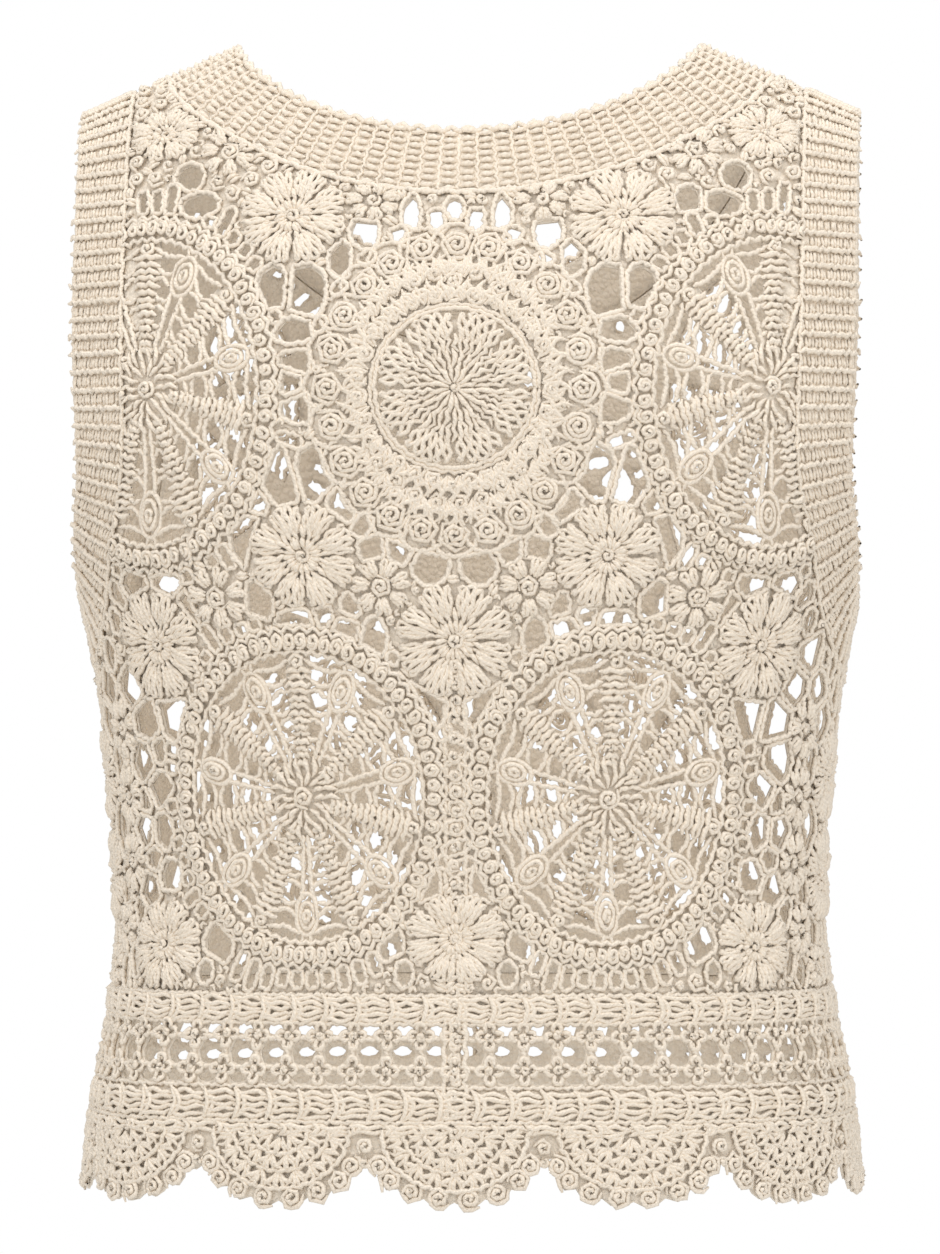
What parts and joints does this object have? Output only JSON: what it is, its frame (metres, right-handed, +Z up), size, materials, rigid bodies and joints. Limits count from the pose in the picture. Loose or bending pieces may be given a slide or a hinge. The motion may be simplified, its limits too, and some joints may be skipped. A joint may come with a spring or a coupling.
{
  "type": "crocheted lace sweater vest",
  "caption": "Cropped sleeveless crochet lace vest, worn and hollow, with ribbed neck and arm bands, wheel and flower motifs and a scalloped hem.",
  "frame": {"origin": "midway between the two neck-side shoulder points, on the shoulder line that the wearer's shoulders hold up", "axes": "+Z up, +X towards the wearer's right, +Y the way the wearer faces, so the back of the vest faces -Y"},
  "size_m": [0.3318, 0.2225, 0.4872],
  "materials": {
    "lace_cotton": "matte undyed crochet cotton yarn, openwork motifs",
    "rib_cotton": "matte undyed crochet cotton yarn, close ribbed bands"
  },
  "bodies": {
    "root": {"back_lace": "lace_cotton", "front_lace": "lace_cotton", "neckband": "rib_cotton", "armband_right": "rib_cotton", "armband_left": "rib_cotton", "hem_back": "lace_cotton", "hem_front": "lace_cotton"}
  },
  "joints": []
}
